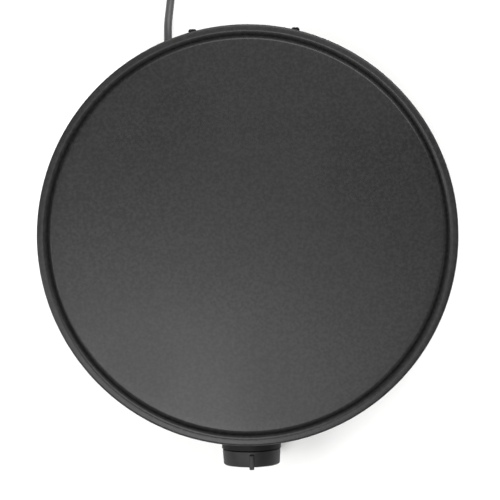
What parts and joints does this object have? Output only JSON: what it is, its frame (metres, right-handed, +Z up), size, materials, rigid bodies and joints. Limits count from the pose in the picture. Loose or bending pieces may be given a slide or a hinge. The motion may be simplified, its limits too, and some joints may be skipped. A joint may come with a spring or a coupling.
{
  "type": "electric griddle",
  "caption": "Round electric griddle: flat non-stick plate with a rim channel on a low moulded base, rotary thermostat knob in front, mains lead with plug behind.",
  "frame": {"origin": "on the table under the middle of the griddle's footprint, from the knob's ridge to the rear lugs, without the mains lead", "axes": "+Z up, the knob faces -Y, +Y points to the rear where the lead leaves, +X is to the right seen from the knob"},
  "size_m": [0.3, 0.4653, 0.072],
  "materials": {
    "coated_plate": "matt dark grey non-stick coating, fine orange-peel grain",
    "base_plastic": "black heat-resistant moulding, fine spark texture",
    "knob_plastic": "black satin-gloss moulding",
    "foot_rubber": "black rubber",
    "element_sheath": "heat-darkened stainless sheath",
    "steel": "zinc-plated steel",
    "spring_steel": "blued spring steel",
    "copper": "bare copper tube",
    "phenolic": "brown phenolic moulding",
    "mica": "pressed mica",
    "nylon": "natural nylon",
    "red_lens": "clear red moulding",
    "green_lens": "clear green moulding",
    "lamp_glass": "clear glass",
    "nickel": "nickel-plated brass",
    "cord_pvc": "black PVC, slightly matt",
    "brown_wire": "brown insulation",
    "blue_wire": "blue insulation",
    "earth_wire": "green and yellow insulation"
  },
  "bodies": {
    "griddle": {"cooking_plate": "coated_plate", "heating_element": "element_sheath", "element_pin_1": "steel", "element_pin_2": "steel", "heat_reflector": "steel", "reflector_screw_1": "steel", "reflector_screw_2": "steel", "reflector_screw_3": "steel", "thermostat_body": "phenolic", "thermostat_bracket": "steel", "bracket_screw_1": "steel", "bracket_screw_2": "steel", "thermostat_bulb": "copper", "capillary_tube": "copper", "bulb_clip": "spring_steel", "thermal_fuse": "nickel", "fuse_clip": "spring_steel", "base_shell": "base_plastic", "plate_spacer_1": "mica", "plate_screw_1": "steel", "plate_spacer_2": "mica", "plate_screw_2": "steel", "plate_spacer_3": "mica", "plate_screw_3": "steel", "plate_spacer_4": "mica", "plate_screw_4": "steel", "foot_1": "foot_rubber", "foot_2": "foot_rubber", "foot_3": "foot_rubber", "foot_4": "foot_rubber", "power_lens": "red_lens", "power_lamp": "lamp_glass", "ready_lens": "green_lens", "ready_lamp": "lamp_glass", "strain_relief": "cord_pvc", "cord_inner_end": "cord_pvc", "cord_clamp": "nylon", "clamp_screw_1": "steel", "clamp_screw_2": "steel", "terminal_block": "nylon", "block_screw": "steel", "conductor_live": "brown_wire", "conductor_earth": "earth_wire", "conductor_neutral": "blue_wire", "wire_live": "brown_wire", "wire_switched": "brown_wire", "wire_fused": "brown_wire", "wire_neutral": "blue_wire", "wire_earth": "earth_wire", "earth_screw": "steel", "power_cord": "cord_pvc", "cord_coil": "cord_pvc", "cord_tie": "nylon", "plug_lead": "cord_pvc", "plug_body": "cord_pvc", "plug_pin_1": "nickel", "plug_pin_2": "nickel"},
    "knob": {"knob": "knob_plastic", "knob_clip": "spring_steel", "thermostat_shaft": "steel"}
  },
  "joints": [
    {"name": "knob_turn", "type": "hinge", "parent": "griddle", "child": "knob", "pos_m": [0, -0.15, 0.036], "axis": [0, 1, 0], "range_deg": [0, 270]}
  ]
}
